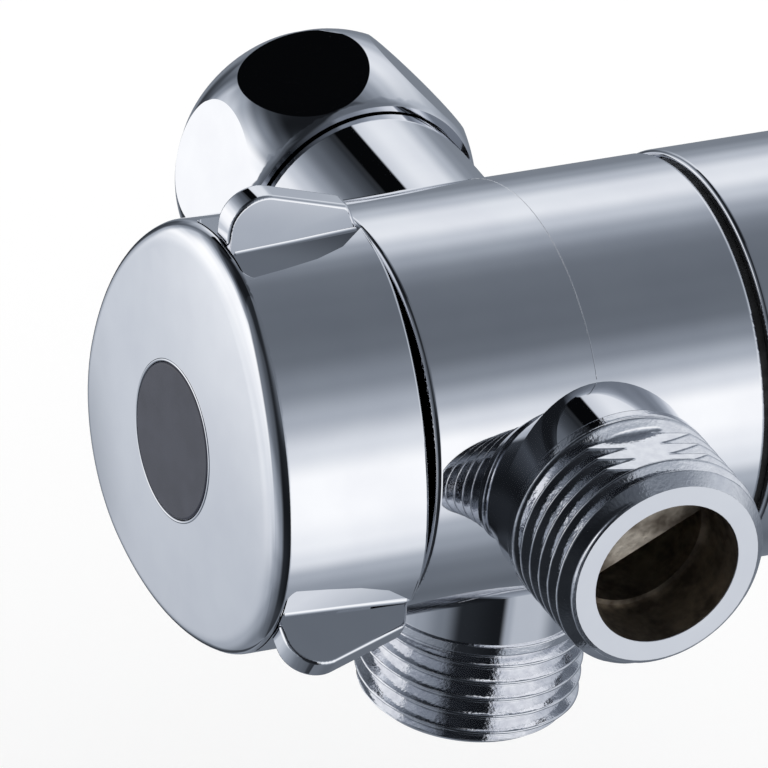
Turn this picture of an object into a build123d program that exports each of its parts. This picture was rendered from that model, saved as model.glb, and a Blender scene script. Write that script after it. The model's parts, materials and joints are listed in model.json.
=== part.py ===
from math import atan2, cos, radians, sin
import os

from build123d import *

os.makedirs("parts", exist_ok=True)

# Millimetres, Z up. The origin is the centre of the inlet nut's mouth. The barrel lies across X,
# the inlet points back (+Y), the front outlet forward (-Y) and the lower outlet down (-Z).
mouth_to_axis = 46.0
run_y = -mouth_to_axis
barrel_axis = Axis((0, run_y, 0), (1, 0, 0))
port_axis = Axis((0, 0, 0), (0, 1, 0))

# Half-inch parallel pipe thread
thread_r = 10.48
thread_depth = 1.16
thread_minor_r = thread_r - thread_depth

# Clearances
running_fit = 0.05
push_fit = 0.05
seal_fit = 0.02
rim_gap = 0.30
groove_side = 0.10

# Barrel and outlets
barrel_r = 19.14
barrel_left = -16.70
barrel_right = 16.90
barrel_edge_r = 0.60
shoulder_drop = 0.28
shoulder_r = thread_r - shoulder_drop
shoulder_stand = 2.46
shoulder_end = barrel_r + shoulder_stand
outlet_thread = 11.30
outlet_end = shoulder_end + outlet_thread
outlet_rim = 1.33
outlet_end_r = thread_r - outlet_rim
outlet_chamfer = 1.15
outlet_bore_r = 7.20
front_bore_depth = 6.40
d_port_wall = 0.50
d_port_z = -1.60
d_port_tilt = 28.0
d_port_web = 4.00
funnel_deep = 8.90
funnel_web = 4.00

# Ball selector and its seats
ball_r = 11.50
ball_face = 9.00
port_r = 5.00
ball_room = 0.90
chamber_r = ball_r + ball_room
chamber_room = 3.00
chamber_end = ball_face + chamber_room
seat_wall = 1.80
seat_r = port_r + seat_wall
seat_behind = 2.10
seat_reach = 2.40
seat_back = ball_r + seat_behind
seat_front = ball_r - seat_reach
trunnion_r = 4.00
trunnion_seat = 1.40
trunnion_end = chamber_end + trunnion_seat
tang_wide = 3.00
tang_long = 11.00
tang_web = 0.60
tang_deep = ball_face - port_r - tang_web

# Bonnet and spindle
flange_gap = 0.40
flange_thick = 2.60
flange_front = -ball_face - flange_gap
flange_back = flange_front - flange_thick
spindle_r = 4.00
flange_step = 2.10
flange_r = spindle_r + flange_step
washer_thick = 0.50
lug_wide = 3.00
lug_reach = 1.90
lug_r = flange_r + lug_reach
lug_thick = 1.70
lug_room = 0.10
nose_inset = 0.50
bonnet_nose_end = flange_front - nose_inset
ring_wire = 0.88
ring_back = 1.50
ring_groove_x = bonnet_nose_end - ring_back
bonnet_step = 2.00
bonnet_r = chamber_r + bonnet_step
bonnet_nose_back = 1.40
bonnet_shoulder = ring_groove_x - bonnet_nose_back
bonnet_inset = 0.30
bonnet_face = barrel_left + bonnet_inset
bonnet_boss_r = 9.00
bonnet_boss = 4.00
bonnet_boss_end = bonnet_face - bonnet_boss
spanner_hole_r = 1.10
spanner_hole = 2.00
shaft_ring_step = 3.00
shaft_ring_first = 2.70
shaft_ring_outer_x = bonnet_boss_end + shaft_ring_first
shaft_ring_inner_x = shaft_ring_outer_x + shaft_ring_step
shaft_ring_wire = 0.74
drive_step = 0.40
drive_r = spindle_r - drive_step
drive_flats = 5.40
drive_gap = 0.80
drive_start = bonnet_boss_end - drive_gap

# Knob
knob_gap = 0.74
knob_back = barrel_left - knob_gap
knob_long = 16.46
knob_face = knob_back - knob_long
lobe_tip_r = 20.60
lobe_drop = 1.75
lobe_flat_r = lobe_tip_r - lobe_drop
lobe_shift = 5.20
lobe_angle = 88.5
lobe_angles = [lobe_angle + 120 * n for n in range(3)]
dome_r = 261.0
knob_edge_r = 2.20
knob_back_edge_r = 0.40
knob_wall = 2.65
knob_hollow_r = lobe_flat_r - knob_wall
knob_web = 3.50
knob_hollow_end = knob_face + knob_web
knob_hollow_slope = 1.00
hub_wall = 3.00
hub_r = drive_r + hub_wall
hub_gap = 0.40
hub_end = drive_start - hub_gap
insert_r = 7.26
insert_gap = 0.12
insert_thick = 1.90
insert_seat = knob_face + insert_thick
insert_edge_r = 0.25
screw_pocket = 3.00
screw_seat = insert_seat + screw_pocket
screw_web = 2.00
spindle_end = screw_seat + screw_web
tap_depth = 7.50
tap_spare = 1.00
screw_r = 1.75
screw_head_r = 3.70
screw_head = 2.30
screw_head_edge_r = 0.90
screw_hole_gap = 0.30
screw_head_gap = 0.40
screw_slot = 3.60
screw_slot_wide = 0.80
screw_slot_deep = 1.30
fin_half = 1.25
fin_half_back = 0.85
fin_nose_inset = 2.45
fin_nose_x = knob_face + fin_nose_inset
fin_nose_r = 3.30
fin_heel_r = 1.20
fin_tip_inset = 0.20
fin_tip_x = knob_back - fin_tip_inset
fin_tip_long = 1.31
fin_slope_x = fin_tip_x - fin_tip_long
fin_root = 3.10
fin_base = lobe_tip_r - fin_root
fin_rise = 6.20
fin_peak = lobe_tip_r + fin_rise
fin_slope_rise = 1.70
fin_slope_z = lobe_tip_r + fin_slope_rise
fin_tip_drop = 0.70
fin_tip_z = lobe_tip_r - fin_tip_drop
fin_edge_r = 0.35
land_front_deep = 1.25
land_back_deep = 0.40
land_front = lobe_tip_r - land_front_deep
land_back = lobe_tip_r - land_back_deep
land_half = 9.00
land_front_x = knob_face - 2.10
land_back_x = knob_back + 1.44

# Swivel end
ring_room = 0.87
ring_inset = 0.20
ring_bore_r = 11.00
end_left = barrel_right + ring_room
end_long = 15.83
end_right = end_left + end_long
end_step = 0.13
end_r = barrel_r + end_step
end_edge_r = 2.20
end_left_edge_r = 0.50
end_web_thick = 2.83
end_web = end_left + end_web_thick
cap_rim = 2.67
cap_r = end_r - cap_rim
cap_deep = 2.00
cap_seat = end_right - cap_deep
cap_edge_r = 0.25
cap_ledge = 0.70
end_hollow_r = cap_r - cap_ledge
cap_skirt = 3.00
cap_skirt_wall = 1.40
pivot_r = 7.00
end_hub = 5.83
hub_right = end_left + end_hub
washer_room = 0.80
pivot_end = hub_right + washer_room
end_hub_wall = 3.00
hub_outer_r = pivot_r + end_hub_wall
wave_thick = 0.35
pivot_screw_r = 2.50
pivot_screw_web = 2.00
pivot_screw_tip = trunnion_end + pivot_screw_web
pivot_head_r = 4.60
pivot_head = 3.00
pivot_head_edge_r = 0.80
pivot_socket_r = 2.30
pivot_socket_deep = 1.80
pivot_washer_thick = 1.40
pivot_washer_gap = 0.20

# Inlet neck and swivel nut, measured from the barrel axis
neck_r = 11.20
nut_length = 15.50
nut_back = mouth_to_axis - nut_length
neck_end = nut_back - rim_gap
nut_lip = 3.00
nut_thread_length = 7.40
nut_relief = 0.68
nut_relief_r = thread_minor_r + nut_relief
nut_bore_gap = 0.22
gasket_r = thread_minor_r - nut_bore_gap
gasket_thick = 2.20
clip_r = gasket_r
clip_depth = 1.20
spigot_r = clip_r - clip_depth
mouth_deep = 10.00
spigot_end = mouth_to_axis - mouth_deep
spigot_wall = 1.90
spigot_bore_r = spigot_r - spigot_wall
port_long = 6.00
bore_step = seat_back + port_long
bore_cone = 2.00
clip_thick = 1.00
clip_start = nut_back + nut_lip + rim_gap
clip_groove = 0.70
clip_groove_r = spigot_r - clip_groove
clip_mouth = 3.20
nut_wall = 1.82
nut_flat = thread_r + nut_wall
nut_bulge = 1.40
nut_wide_r = nut_flat + nut_bulge
nut_wide_up = 7.10
nut_wide_y = nut_back + nut_wide_up
nut_back_edge = 0.30
nut_shoulder = 1.70
nut_shoulder_y = mouth_to_axis - nut_shoulder
nut_round = 0.60
nut_round_y = mouth_to_axis - nut_round
nut_round_in = 0.80
nut_round_r = nut_flat - nut_round_in
nut_face_in = 1.15
nut_face_r = nut_flat - nut_face_in
nut_turn = 46.0
screen_ledge = 0.50
screen_r = spigot_bore_r + screen_ledge
screen_thick = 0.60
screen_hole = 1.10
screen_pitch = 1.75
gasket_lap = 0.20


def turned(points):
    """Closed profile of (along, radius) points in the barrel's axial plane."""
    with BuildSketch(Plane.XY) as profile:
        with BuildLine():
            Polyline(*[(x, run_y + r) for x, r in points], close=True)
        make_face()
    return profile.sketch


def port_turned(points):
    """Closed profile of (distance from the barrel axis, radius) points about the inlet axis."""
    with BuildSketch(Plane.XY) as profile:
        with BuildLine():
            Polyline(*[(r, run_y + y) for y, r in points], close=True)
        make_face()
    return profile.sketch


def at_angle(angle):
    """Place a piece drawn around X with its radius along +Y at an angle about the barrel axis."""
    return Location((0, run_y, 0), (angle, 0, 0))


def knob_arcs():
    """Three-lobed outline as six tangent arcs: (start, middle, end) in the barrel's cross plane."""
    step = lobe_tip_r - lobe_flat_r
    back = (2 * step * lobe_shift - step**2) / (lobe_shift - 2 * step)
    tip_arc = lobe_tip_r - lobe_shift
    flat_arc = lobe_flat_r + back
    half = atan2(back * sin(radians(60)), lobe_shift + back / 2)
    arcs = []
    for lobe in lobe_angles:
        ahead = radians(lobe)
        side = radians(lobe + 60)
        tip = (run_y + lobe_shift * cos(ahead), lobe_shift * sin(ahead))
        far = (run_y - back * cos(side), -back * sin(side))
        spots = [(tip[0] + tip_arc * cos(t), tip[1] + tip_arc * sin(t))
                 for t in (ahead - half, ahead, ahead + half)]
        arcs.append(spots)
        arcs.append([(far[0] + flat_arc * cos(t), far[1] + flat_arc * sin(t))
                     for t in (ahead + half, side, 2 * side - ahead - half)])
    return arcs


# Valve body: one moulding with the barrel, inlet neck, two threaded outlets and pivot boss
with BuildPart() as valve_body:
    with BuildSketch(Plane.YZ.offset(barrel_left)):
        with Locations((run_y, 0)):
            Circle(barrel_r)
    extrude(amount=barrel_right - barrel_left)
    barrel_rims = valve_body.edges().filter_by(GeomType.CIRCLE)
    fillet(barrel_rims, barrel_edge_r)
    # inlet neck and spigot
    with BuildSketch(Plane.XZ.offset(-run_y)):
        Circle(neck_r)
    extrude(amount=-neck_end)
    with BuildSketch(Plane.XZ.offset(-run_y - neck_end)):
        Circle(spigot_r)
    extrude(amount=-(spigot_end - neck_end))
    # front outlet: shoulder, then the threaded length at its major diameter
    with BuildSketch(Plane.XZ.offset(-run_y)):
        Circle(shoulder_r)
    extrude(amount=shoulder_end)
    with BuildSketch(Plane.XZ.offset(-run_y + shoulder_end)):
        Circle(thread_r)
    extrude(amount=outlet_end - shoulder_end)
    front_rim = valve_body.faces().sort_by(Axis.Y)[0].edges()
    chamfer(front_rim, outlet_chamfer, thread_r - outlet_end_r)
    # lower outlet
    with BuildSketch(Plane.XY):
        with Locations((0, run_y)):
            Circle(shoulder_r)
    extrude(amount=-shoulder_end)
    with BuildSketch(Plane.XY.offset(-shoulder_end)):
        with Locations((0, run_y)):
            Circle(thread_r)
    extrude(amount=-(outlet_end - shoulder_end))
    lower_rim = valve_body.faces().sort_by(Axis.Z)[0].edges()
    chamfer(lower_rim, outlet_chamfer, thread_r - outlet_end_r)
    # pivot boss for the swivel end
    with BuildSketch(Plane.YZ.offset(barrel_right - 1)):
        with Locations((run_y, 0)):
            Circle(pivot_r)
    extrude(amount=pivot_end - barrel_right + 1)
    # ball chamber, bonnet thread, trunnion bearing and pivot screw hole
    with BuildSketch(Plane.XY):
        add(turned([
            (barrel_left - 1, 0), (barrel_left - 1, bonnet_r), (bonnet_shoulder, bonnet_r),
            (bonnet_shoulder, chamber_r), (chamber_end, chamber_r),
            (chamber_end, trunnion_r + running_fit),
            (trunnion_end + rim_gap, trunnion_r + running_fit), (trunnion_end + rim_gap, 0),
        ]))
    revolve(axis=barrel_axis, mode=Mode.SUBTRACT)
    with BuildSketch(Plane.YZ.offset(pivot_end)):
        with Locations((run_y, 0)):
            Circle(pivot_screw_r)
    extrude(amount=-(pivot_end - pivot_screw_tip + rim_gap), mode=Mode.SUBTRACT)
    # seat pockets behind each port
    for angle in (0, 180, -90):
        with Locations(at_angle(angle)):
            Cylinder(seat_r + push_fit, seat_back, rotation=(-90, 0, 0),
                     align=(Align.CENTER, Align.CENTER, Align.MIN), mode=Mode.SUBTRACT)
    # inlet waterway with a recess for the screen and the clip groove
    with BuildSketch(Plane.XY):
        add(port_turned([
            (seat_back - 1, 0), (seat_back - 1, port_r), (bore_step, port_r),
            (bore_step + bore_cone, spigot_bore_r), (spigot_end - screen_thick, spigot_bore_r),
            (spigot_end - screen_thick, screen_r + push_fit), (spigot_end + 1, screen_r + push_fit),
            (spigot_end + 1, 0),
        ]))
    revolve(axis=port_axis, mode=Mode.SUBTRACT)
    with BuildSketch(Plane.XY):
        add(port_turned([
            (clip_start, clip_groove_r), (clip_start + clip_thick, clip_groove_r),
            (clip_start + clip_thick, spigot_r + 1), (clip_start, spigot_r + 1),
        ]))
    revolve(axis=port_axis, mode=Mode.SUBTRACT)
    # front waterway: round mouth, a D-shaped port behind it, then the seat's round port
    with BuildSketch(Plane.XZ.offset(-run_y + outlet_end)):
        Circle(outlet_bore_r)
    extrude(amount=-front_bore_depth, mode=Mode.SUBTRACT)
    with BuildSketch(Plane.XZ.offset(-run_y + outlet_end)):
        Circle(outlet_bore_r - d_port_wall)
        with Locations(Location((0, d_port_z), d_port_tilt)):
            Rectangle(4 * outlet_bore_r, 3 * outlet_bore_r, align=(Align.CENTER, Align.MIN), mode=Mode.SUBTRACT)
    extrude(amount=-(outlet_end - seat_back - d_port_web), mode=Mode.SUBTRACT)
    with BuildSketch(Plane.XZ.offset(-run_y + seat_back + d_port_web + 1)):
        Circle(port_r)
    extrude(amount=-d_port_web - 2, mode=Mode.SUBTRACT)
    # lower waterway: a funnel from the mouth to the seat's port
    with BuildSketch(Plane.YZ):
        with BuildLine():
            Polyline(
                (run_y, -outlet_end - 1), (run_y + outlet_bore_r, -outlet_end - 1),
                (run_y + outlet_bore_r, funnel_deep - outlet_end),
                (run_y + port_r, -seat_back - funnel_web),
                (run_y + port_r, -seat_back + 1), (run_y, -seat_back + 1), close=True,
            )
        make_face()
    revolve(axis=Axis((0, run_y, 0), (0, 0, 1)), mode=Mode.SUBTRACT)

# Ball selector: T-shaped waterway, trunnion on the right, slot for the spindle on the left
with BuildPart() as selector_ball:
    with Locations((0, run_y, 0)):
        Sphere(ball_r)
        Box(2 * ball_face, 3 * ball_r, 3 * ball_r, mode=Mode.INTERSECT)
    with BuildSketch(Plane.YZ.offset(ball_face)):
        with Locations((run_y, 0)):
            Circle(trunnion_r)
    extrude(amount=trunnion_end - ball_face)
    with Locations((0, run_y, 0)):
        Cylinder(port_r, 3 * ball_r, rotation=(90, 0, 0), mode=Mode.SUBTRACT)
        Cylinder(port_r, 2 * ball_r, align=(Align.CENTER, Align.CENTER, Align.MAX),
                 mode=Mode.SUBTRACT)
    with BuildSketch(Plane.YZ.offset(-ball_face)):
        with Locations((run_y, 0)):
            Rectangle(tang_wide + 2 * push_fit, tang_long + 2 * push_fit)
    extrude(amount=tang_deep, mode=Mode.SUBTRACT)

# Seat ring: drawn once about +Y, then set behind each port
with BuildPart() as seat_ring:
    with BuildSketch(Plane.XZ):
        Circle(seat_r)
        Circle(port_r, mode=Mode.SUBTRACT)
    extrude(amount=-seat_back)
    with BuildSketch(Plane.XZ):
        Circle(seat_r + 1)
    extrude(amount=-seat_front, mode=Mode.SUBTRACT)
    Sphere(ball_r + running_fit, mode=Mode.SUBTRACT)

with BuildPart() as seat_inlet:
    with Locations(at_angle(0)):
        add(seat_ring.part)
with BuildPart() as seat_forward:
    with Locations(at_angle(180)):
        add(seat_ring.part)
with BuildPart() as seat_lower:
    with Locations(at_angle(-90)):
        add(seat_ring.part)

# Bonnet: threaded disc that closes the chamber, with a seal groove, spindle bore and stop recess
with BuildPart() as bonnet:
    with BuildSketch(Plane.XY):
        add(turned([
            (bonnet_boss_end, spindle_r + running_fit), (bonnet_boss_end, bonnet_boss_r),
            (bonnet_face, bonnet_boss_r), (bonnet_face, bonnet_r - push_fit),
            (bonnet_shoulder, bonnet_r - push_fit), (bonnet_shoulder, chamber_r - push_fit),
            (ring_groove_x - ring_wire - groove_side, chamber_r - push_fit),
            (ring_groove_x - ring_wire - groove_side, chamber_r - 2 * ring_wire - seal_fit),
            (ring_groove_x + ring_wire + groove_side, chamber_r - 2 * ring_wire - seal_fit),
            (ring_groove_x + ring_wire + groove_side, chamber_r - push_fit),
            (bonnet_nose_end, chamber_r - push_fit), (bonnet_nose_end, flange_r + rim_gap),
            (flange_back - washer_thick - seal_fit, flange_r + rim_gap),
            (flange_back - washer_thick - seal_fit, spindle_r + running_fit),
        ]))
    revolve(axis=barrel_axis)
    # half-round recess in which the spindle's lug travels between its two stops
    with BuildSketch(Plane.YZ.offset(flange_back - rim_gap)):
        with Locations((run_y, 0)):
            Circle(lug_r + rim_gap)
        with Locations((run_y - lug_wide / 2 - lug_room, 0)):
            Rectangle(2 * lug_r, 4 * lug_r, align=(Align.MAX, Align.CENTER), mode=Mode.SUBTRACT)
    extrude(amount=bonnet_nose_end - flange_back + rim_gap, mode=Mode.SUBTRACT)
    # two holes for a pin spanner
    with BuildSketch(Plane.YZ.offset(bonnet_face)):
        with Locations((run_y, 0)):
            with PolarLocations((bonnet_r + bonnet_boss_r) / 2, 2, start_angle=45):
                Circle(spanner_hole_r)
    extrude(amount=spanner_hole, mode=Mode.SUBTRACT)

# Spindle: tang, flange with stop lug, shaft with two seal grooves, two-flat drive and tapped end
with BuildPart() as spindle:
    with BuildSketch(Plane.XY):
        groove_r = spindle_r - 2 * shaft_ring_wire - seal_fit
        half_groove = shaft_ring_wire + groove_side
        shaft = [(flange_front, 0), (flange_front, flange_r), (flange_back, flange_r),
                 (flange_back, spindle_r)]
        for x in (shaft_ring_inner_x, shaft_ring_outer_x):
            shaft += [(x + half_groove, spindle_r), (x + half_groove, groove_r),
                      (x - half_groove, groove_r), (x - half_groove, spindle_r)]
        shaft += [(drive_start, spindle_r), (drive_start, drive_r), (spindle_end, drive_r),
                  (spindle_end, 0)]
        add(turned(shaft))
    revolve(axis=barrel_axis)
    with BuildSketch(Plane.YZ.offset(flange_front)):
        with Locations((run_y, 0)):
            Rectangle(tang_wide, tang_long)
    extrude(amount=tang_deep + flange_gap - groove_side)
    with BuildSketch(Plane.YZ.offset(flange_back)):
        with Locations((run_y, -lug_r)):
            Rectangle(lug_wide, lug_r - flange_r + 1, align=(Align.CENTER, Align.MIN))
    extrude(amount=lug_thick)
    for side in (1, -1):
        with BuildSketch(Plane.YZ.offset(spindle_end)):
            with Locations((run_y + side * drive_flats / 2, 0)):
                Rectangle(2 * drive_r, 4 * drive_r,
                          align=(Align.MIN if side > 0 else Align.MAX, Align.CENTER))
        extrude(amount=drive_start - spindle_end, mode=Mode.SUBTRACT)
    with BuildSketch(Plane.YZ.offset(spindle_end)):
        with Locations((run_y, 0)):
            Circle(screw_r)
    extrude(amount=tap_depth, mode=Mode.SUBTRACT)

with BuildPart() as thrust_washer:
    with BuildSketch(Plane.YZ.offset(flange_back - washer_thick)):
        with Locations((run_y, 0)):
            Circle(flange_r)
            Circle(spindle_r + running_fit, mode=Mode.SUBTRACT)
    extrude(amount=washer_thick)

with BuildPart() as bonnet_seal:
    with Locations(Location((ring_groove_x, run_y, 0), (0, 90, 0))):
        Torus(chamber_r - ring_wire - seal_fit / 2, ring_wire)

with BuildPart() as spindle_seal_inner:
    with Locations(Location((shaft_ring_inner_x, run_y, 0), (0, 90, 0))):
        Torus(spindle_r - shaft_ring_wire, shaft_ring_wire)

with BuildPart() as spindle_seal_outer:
    with Locations(Location((shaft_ring_outer_x, run_y, 0), (0, 90, 0))):
        Torus(spindle_r - shaft_ring_wire, shaft_ring_wire)

# Knob fin, drawn about X with its radius along +Z: rounded nose, ridge falling to the back rim
with BuildPart() as knob_fin:
    with BuildSketch(Plane.XZ) as fin_side:
        with BuildLine():
            Polyline((fin_nose_x, fin_base), (fin_nose_x, fin_peak), (fin_slope_x, fin_slope_z),
                     (fin_tip_x, fin_tip_z), (fin_tip_x, fin_base), close=True)
        make_face()
        by_height = fin_side.vertices().sort_by(Axis.Y)
        fillet(by_height[-1], fin_nose_r)
        slope_corner = fin_side.vertices().sort_by_distance((fin_slope_x, fin_slope_z))[0]
        fillet(slope_corner, fin_heel_r)
    extrude(amount=2 * fin_half, both=True)
    with BuildSketch(Plane.XY.offset(fin_base)):
        with BuildLine():
            Polyline((fin_nose_x, -fin_half), (fin_nose_x, fin_half), (fin_tip_x, fin_half_back),
                     (fin_tip_x, -fin_half_back), close=True)
        make_face()
    extrude(amount=2 * (fin_peak - fin_base), mode=Mode.INTERSECT)
    rim_edges = [
        e for e in knob_fin.edges()
        if abs(e.center().Y) > fin_half_back / 2 and e.center().Z > fin_base + 0.1
        and e.center().X < fin_tip_x - 0.1
    ]
    fillet(rim_edges, fin_edge_r)

# Finger land beside each fin: a plane that cuts the crest of the lobe
with BuildPart() as land_cutter:
    with BuildSketch(Plane.XZ):
        with BuildLine():
            Polyline((land_front_x, land_front), (land_front_x, fin_peak + 1),
                     (land_back_x, fin_peak + 1), (land_back_x, land_back), close=True)
        make_face()
    extrude(amount=land_half, both=True)

# Diverter knob: three-lobed cap with three fins, hollow behind, hub on the spindle
with BuildPart() as diverter_knob:
    with BuildSketch(Plane.YZ.offset(knob_back)):
        with BuildLine():
            for start, middle, end in knob_arcs():
                ThreePointArc(start, middle, end)
        make_face()
    extrude(amount=-(knob_back - knob_face + 1))
    with Locations((knob_face + dome_r, run_y, 0)):
        Sphere(dome_r, mode=Mode.INTERSECT)
    front_edge = diverter_knob.faces().sort_by(Axis.X)[0].edges()
    fillet(front_edge, knob_edge_r)
    back_edge = diverter_knob.faces().sort_by(Axis.X)[-1].edges()
    fillet(back_edge, knob_back_edge_r)
    fin_places = [Location((0, run_y, 0), (a - 90, 0, 0)) for a in lobe_angles]
    with Locations(*fin_places):
        add(land_cutter.part, mode=Mode.SUBTRACT)
    with Locations(*fin_places):
        add(knob_fin.part)
    with BuildSketch(Plane.XY):
        add(turned([
            (knob_back + 1, hub_r), (knob_back + 1, knob_hollow_r),
            (knob_hollow_end + knob_hollow_slope, knob_hollow_r),
            (knob_hollow_end, knob_hollow_r - knob_hollow_slope),
            (knob_hollow_end, hub_r),
        ]))
    revolve(axis=barrel_axis, mode=Mode.SUBTRACT)
    with BuildSketch(Plane.XY):
        add(turned([
            (knob_back + 1, 0), (knob_back + 1, hub_r + 1), (hub_end, hub_r + 1), (hub_end, 0),
        ]))
    revolve(axis=barrel_axis, mode=Mode.SUBTRACT)
    # two-flat socket on the spindle
    with BuildSketch(Plane.YZ.offset(hub_end)):
        with Locations((run_y, 0)):
            Circle(drive_r + push_fit)
            Rectangle(drive_flats + 2 * push_fit, 4 * drive_r, mode=Mode.INTERSECT)
    extrude(amount=spindle_end - push_fit - hub_end, mode=Mode.SUBTRACT)
    # insert pocket, screw head pocket and screw hole
    with BuildSketch(Plane.XY):
        add(turned([
            (knob_face - 1, 0), (knob_face - 1, insert_r + insert_gap),
            (insert_seat, insert_r + insert_gap), (insert_seat, screw_head_r + screw_head_gap),
            (screw_seat, screw_head_r + screw_head_gap), (screw_seat, screw_r + screw_hole_gap),
            (spindle_end + 1, screw_r + screw_hole_gap), (spindle_end + 1, 0),
        ]))
    revolve(axis=barrel_axis, mode=Mode.SUBTRACT)

with BuildPart() as knob_insert:
    with BuildSketch(Plane.YZ.offset(insert_seat)):
        with Locations((run_y, 0)):
            Circle(insert_r)
    extrude(amount=knob_face - insert_seat)
    insert_rim = knob_insert.faces().sort_by(Axis.X)[0].edges()
    fillet(insert_rim, insert_edge_r)

with BuildPart() as knob_screw:
    with BuildSketch(Plane.YZ.offset(screw_seat)):
        with Locations((run_y, 0)):
            Circle(screw_head_r)
    extrude(amount=-screw_head)
    head_rim = knob_screw.faces().sort_by(Axis.X)[0].edges()
    fillet(head_rim, screw_head_edge_r)
    with BuildSketch(Plane.YZ.offset(screw_seat)):
        with Locations((run_y, 0)):
            Circle(screw_r - push_fit)
    extrude(amount=spindle_end + tap_depth - tap_spare - screw_seat)
    with BuildSketch(Plane.YZ.offset(screw_seat - screw_head)):
        with Locations((run_y, 0)):
            Rectangle(screw_slot, screw_slot_wide)
            Rectangle(screw_slot_wide, screw_slot)
    extrude(amount=screw_slot_deep, mode=Mode.SUBTRACT)

# Friction ring that closes the gap between the barrel and the swivel end
with BuildPart() as friction_ring:
    with BuildSketch(Plane.YZ.offset(barrel_right)):
        with Locations((run_y, 0)):
            Circle(barrel_r - barrel_edge_r - ring_inset)
            Circle(ring_bore_r, mode=Mode.SUBTRACT)
    extrude(amount=end_left - barrel_right - seal_fit)

# Swivel end: turns on the pivot boss, open at the right for its cap
with BuildPart() as swivel_end:
    with BuildSketch(Plane.YZ.offset(end_left)):
        with Locations((run_y, 0)):
            Circle(end_r)
    extrude(amount=end_right - end_left)
    fillet(swivel_end.faces().sort_by(Axis.X)[-1].edges(), end_edge_r)
    fillet(swivel_end.faces().sort_by(Axis.X)[0].edges(), end_left_edge_r)
    with BuildSketch(Plane.XY):
        add(turned([
            (end_right + 1, 0), (end_right + 1, cap_r), (cap_seat, cap_r),
            (cap_seat, end_hollow_r), (end_web, end_hollow_r), (end_web, hub_outer_r),
            (hub_right, hub_outer_r), (hub_right, pivot_r + running_fit),
            (end_left - 1, pivot_r + running_fit), (end_left - 1, 0),
        ]))
    revolve(axis=barrel_axis, mode=Mode.SUBTRACT)

with BuildPart() as wave_washer:
    with BuildSketch(Plane.XY):
        add(turned([
            (hub_right, pivot_r + 0.6), (hub_right + wave_thick, pivot_r + 0.6),
            (pivot_end, hub_outer_r - 0.6), (pivot_end, hub_outer_r - 0.2),
            (pivot_end - wave_thick, hub_outer_r - 0.2), (hub_right, pivot_r + 1.0),
        ]))
    revolve(axis=barrel_axis)

with BuildPart() as pivot_washer:
    with BuildSketch(Plane.YZ.offset(pivot_end)):
        with Locations((run_y, 0)):
            Circle(hub_outer_r)
            Circle(pivot_screw_r + pivot_washer_gap, mode=Mode.SUBTRACT)
    extrude(amount=pivot_washer_thick)

with BuildPart() as pivot_screw:
    with BuildSketch(Plane.YZ.offset(pivot_end + pivot_washer_thick)):
        with Locations((run_y, 0)):
            Circle(pivot_head_r)
    extrude(amount=pivot_head)
    fillet(pivot_screw.faces().sort_by(Axis.X)[-1].edges(), pivot_head_edge_r)
    with BuildSketch(Plane.YZ.offset(pivot_end + pivot_washer_thick)):
        with Locations((run_y, 0)):
            Circle(pivot_screw_r - push_fit)
    extrude(amount=-(pivot_end + pivot_washer_thick - pivot_screw_tip))
    with BuildSketch(Plane.YZ.offset(pivot_end + pivot_washer_thick + pivot_head)):
        with Locations((run_y, 0)):
            RegularPolygon(pivot_socket_r, 6)
    extrude(amount=-pivot_socket_deep, mode=Mode.SUBTRACT)

with BuildPart() as end_cap:
    with BuildSketch(Plane.YZ.offset(cap_seat)):
        with Locations((run_y, 0)):
            Circle(cap_r - push_fit)
    extrude(amount=end_right - cap_seat)
    fillet(end_cap.faces().sort_by(Axis.X)[-1].edges(), cap_edge_r)
    with BuildSketch(Plane.YZ.offset(cap_seat)):
        with Locations((run_y, 0)):
            Circle(end_hollow_r - push_fit)
            Circle(end_hollow_r - cap_skirt_wall, mode=Mode.SUBTRACT)
    extrude(amount=-cap_skirt)

# Swivel nut: domed hexagon that turns on the spigot, behind its clip
with BuildPart() as inlet_nut:
    with BuildSketch(Plane.XY):
        with BuildLine():
            Spline(
                (nut_flat - groove_side, run_y + nut_back + nut_back_edge), (nut_wide_r, run_y + nut_wide_y),
                (nut_flat, run_y + nut_shoulder_y), (nut_round_r, run_y + nut_round_y),
            )
            Polyline(
                (nut_round_r, run_y + nut_round_y), (nut_face_r, 0), (thread_minor_r, 0),
                (thread_minor_r, -nut_thread_length), (nut_relief_r, -nut_thread_length),
                (nut_relief_r, run_y + nut_back + nut_lip),
                (spigot_r + rim_gap, run_y + nut_back + nut_lip),
                (spigot_r + rim_gap, run_y + nut_back),
                (nut_flat - groove_side - nut_back_edge, run_y + nut_back),
                (nut_flat - groove_side, run_y + nut_back + nut_back_edge),
            )
        make_face()
    revolve(axis=port_axis)
    hex_angles = [nut_turn + 60 * n for n in range(6)]
    for angle in hex_angles:
        flat_plane = Plane(
            origin=(nut_flat * cos(radians(angle)), run_y + nut_wide_y, nut_flat * sin(radians(angle))),
            x_dir=(0, 1, 0), z_dir=(cos(radians(angle)), 0, sin(radians(angle))),
        )
        with BuildSketch(flat_plane):
            Rectangle(2 * nut_length, 2 * nut_flat)
        extrude(amount=2 * nut_bulge, mode=Mode.SUBTRACT)

with BuildPart() as nut_clip:
    with BuildSketch(Plane.XZ.offset(-run_y - clip_start)):
        Circle(clip_r)
        Circle(clip_groove_r + push_fit, mode=Mode.SUBTRACT)
        with Locations((0, -clip_r)):
            Rectangle(clip_mouth, clip_r, mode=Mode.SUBTRACT)
    extrude(amount=-clip_thick)

with BuildPart() as inlet_screen:
    with BuildSketch(Plane.XZ.offset(-run_y - spigot_end + screen_thick)):
        Circle(screen_r)
        with HexLocations(screen_pitch / 2, 5, 5):
            Circle(screen_hole / 2, mode=Mode.SUBTRACT)
    extrude(amount=-screen_thick)

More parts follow.
